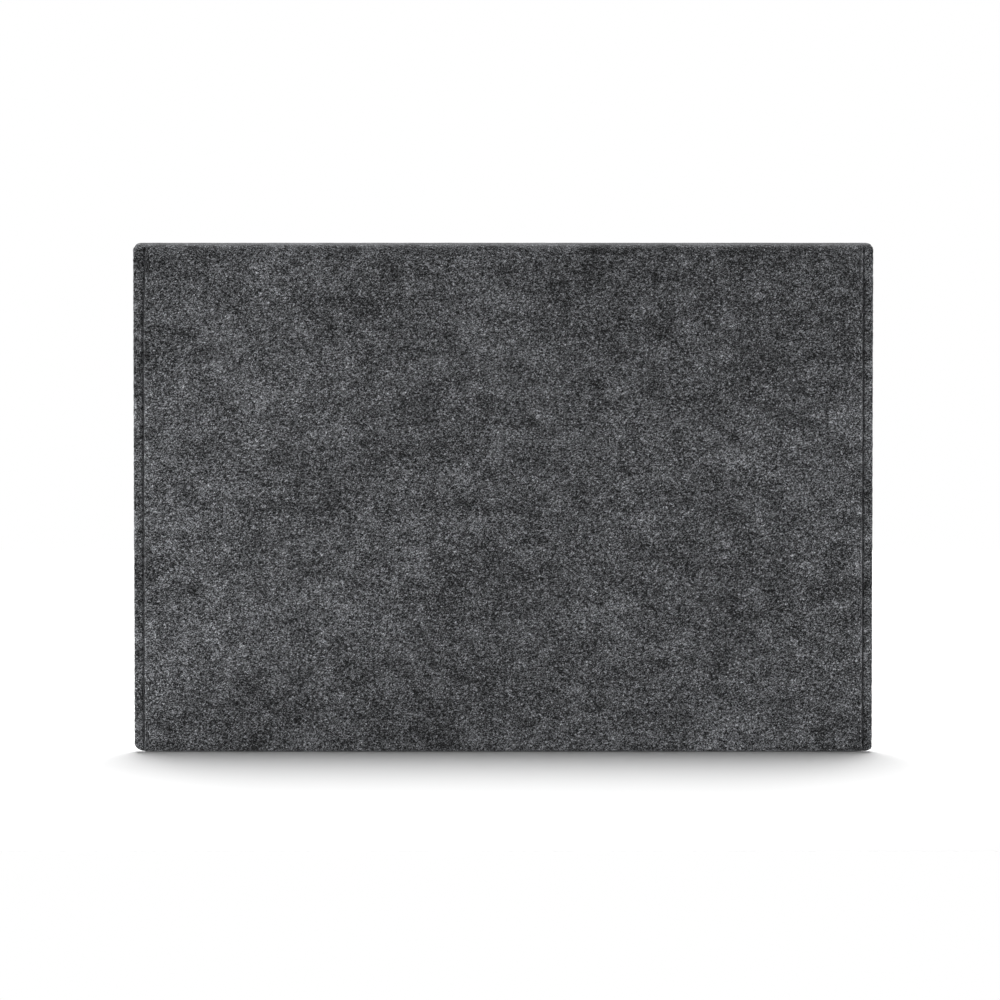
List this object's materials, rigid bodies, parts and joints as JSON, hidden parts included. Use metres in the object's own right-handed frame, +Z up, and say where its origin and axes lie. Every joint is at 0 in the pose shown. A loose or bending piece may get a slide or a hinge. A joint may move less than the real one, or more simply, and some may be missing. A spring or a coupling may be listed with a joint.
{
  "type": "laptop sleeve",
  "caption": "Slim felt laptop sleeve: one strip of thick grey felt folded into a pocket, sewn up both sides, with a flap over its mouth held by hook and loop tapes.",
  "frame": {"origin": "under the middle of the sleeve's bounding box, on the surface that it stands on", "axes": "+Z up from the bottom fold to the top fold, X along the folds, +Y from the plain back panel to the flap"},
  "size_m": [0.37, 0.0244, 0.255],
  "materials": {
    "felt": "thick dark grey melange needle felt, matt and slightly hairy",
    "thread": "dark twisted polyester sewing thread",
    "hook_tape": "black woven nylon tape with a field of small moulded hooks",
    "loop_tape": "black brushed nylon loop tape"
  },
  "bodies": {
    "sleeve": {"back_panel": "felt", "bottom_fold": "felt", "front_panel": "felt", "top_rear_bend": "felt", "seam_needle_thread_left": "thread", "seam_needle_thread_right": "thread", "seam_bobbin_thread_left": "thread", "seam_bobbin_thread_right": "thread", "loop_tape_left": "loop_tape", "loop_tape_right": "loop_tape", "loop_needle_thread_left": "thread", "loop_needle_thread_right": "thread", "loop_bobbin_thread_left": "thread", "loop_bobbin_thread_right": "thread"},
    "top": {"top_strip": "felt", "top_front_bend": "felt"},
    "flap": {"flap": "felt", "hook_tape_left": "hook_tape", "hook_tape_right": "hook_tape", "hook_needle_thread_left": "thread", "hook_needle_thread_right": "thread", "hook_bobbin_thread_left": "thread", "hook_bobbin_thread_right": "thread"}
  },
  "joints": [
    {"name": "rear_crease", "type": "hinge", "parent": "sleeve", "child": "top", "pos_m": [0, -0.01011, 0.25286], "axis": [1, 0, 0], "range_deg": [0, 180], "deforming": ["top_rear_bend"]},
    {"name": "front_crease", "type": "hinge", "parent": "top", "child": "flap", "pos_m": [0, 0.01011, 0.25286], "axis": [1, 0, 0], "range_deg": [0, 180], "deforming": ["top_front_bend"]}
  ]
}
